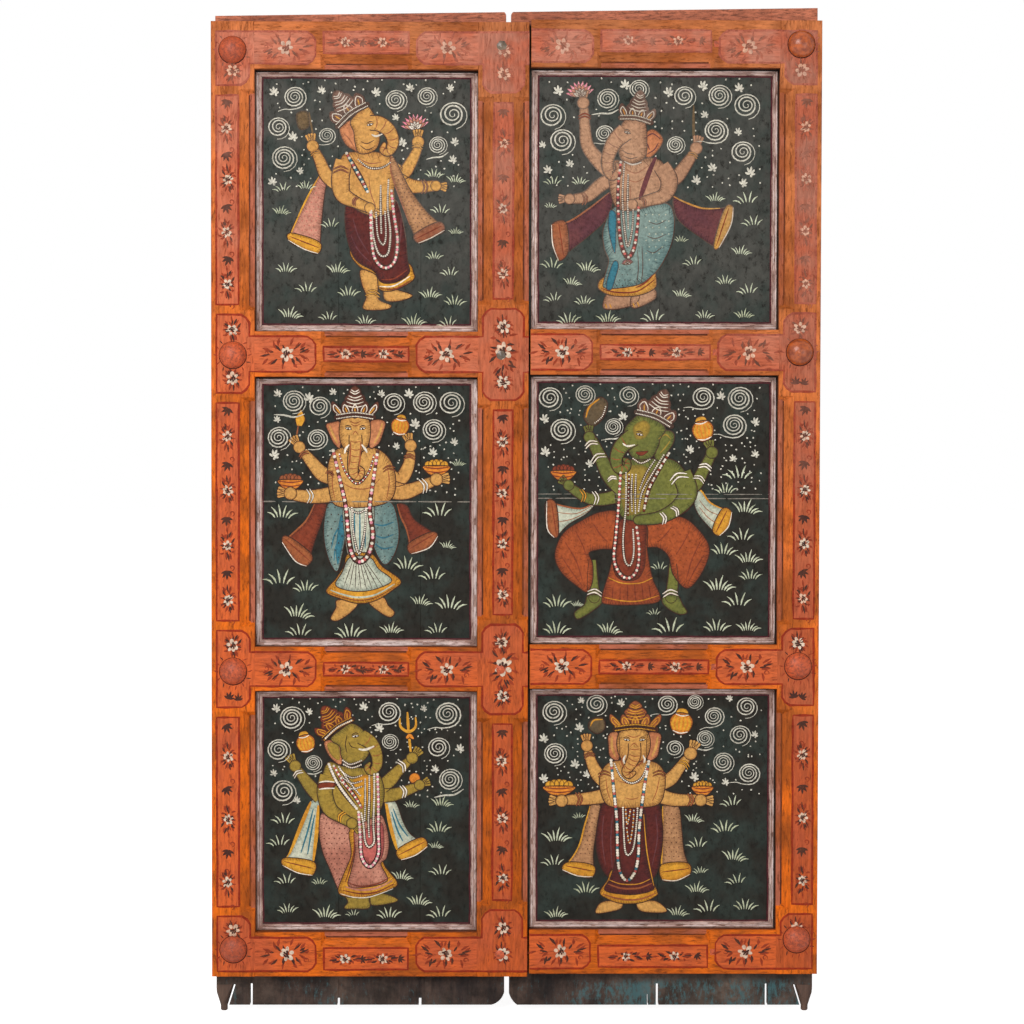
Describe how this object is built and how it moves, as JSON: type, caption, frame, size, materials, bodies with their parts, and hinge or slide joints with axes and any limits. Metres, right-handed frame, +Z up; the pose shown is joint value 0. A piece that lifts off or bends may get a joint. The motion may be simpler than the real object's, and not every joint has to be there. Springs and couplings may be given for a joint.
{
  "type": "painted plank double door",
  "caption": "Worn painted double-leaf plank door with stop-chamfered front frames, domed bosses, a meeting strip and tapered foot pegs that its leaves swing on.",
  "frame": {"origin": "middle of the foot of the pair, at the level of the peg tips and at half the depth", "axes": "+Z up, +X to the right as seen from the painted front, and the front faces -Y"},
  "size_m": [1.126, 0.0676, 1.8685],
  "materials": {
    "painted_frame": "worn orange paint",
    "painted_boards": "worn dark paint",
    "peg_wood": "bare weathered wood",
    "boss_iron": "painted and rusted",
    "nail_iron": "rusted"
  },
  "bodies": {
    "pivots": {"left_pivot_peg": "peg_wood", "right_pivot_peg": "peg_wood"},
    "left_leaf": {"left_pivot_post": "painted_boards", "left_board_1": "painted_boards", "left_board_2": "painted_boards", "left_board_3": "painted_boards", "left_outer_stile": "painted_frame", "meeting_strip": "painted_frame", "left_bottom_rail": "painted_frame", "left_lower_rail": "painted_frame", "left_upper_rail": "painted_frame", "left_top_rail": "painted_frame", "left_bosses": "boss_iron", "left_roves": "nail_iron", "left_rail_nails": "nail_iron", "strip_nails": "nail_iron"},
    "right_leaf": {"right_pivot_post": "painted_boards", "right_board_1": "painted_boards", "right_board_2": "painted_boards", "right_outer_stile": "painted_frame", "right_bottom_rail": "painted_frame", "right_lower_rail": "painted_frame", "right_upper_rail": "painted_frame", "right_top_rail": "painted_frame", "right_bosses": "boss_iron", "right_roves": "nail_iron", "right_rail_nails": "nail_iron"}
  },
  "joints": [
    {"name": "right_leaf_swing", "type": "hinge", "parent": "pivots", "child": "right_leaf", "pos_m": [0.5435, 0.01825, 0.05], "axis": [0, 0, -1], "range_deg": [0, 105]},
    {"name": "left_leaf_swing", "type": "hinge", "parent": "pivots", "child": "left_leaf", "pos_m": [-0.5435, 0.01825, 0.05], "axis": [0, 0, 1], "range_deg": [0, 84]}
  ],
  "couplings": [
    {"joint": "left_leaf_swing", "follows": "right_leaf_swing", "ratio": 0.8}
  ]
}
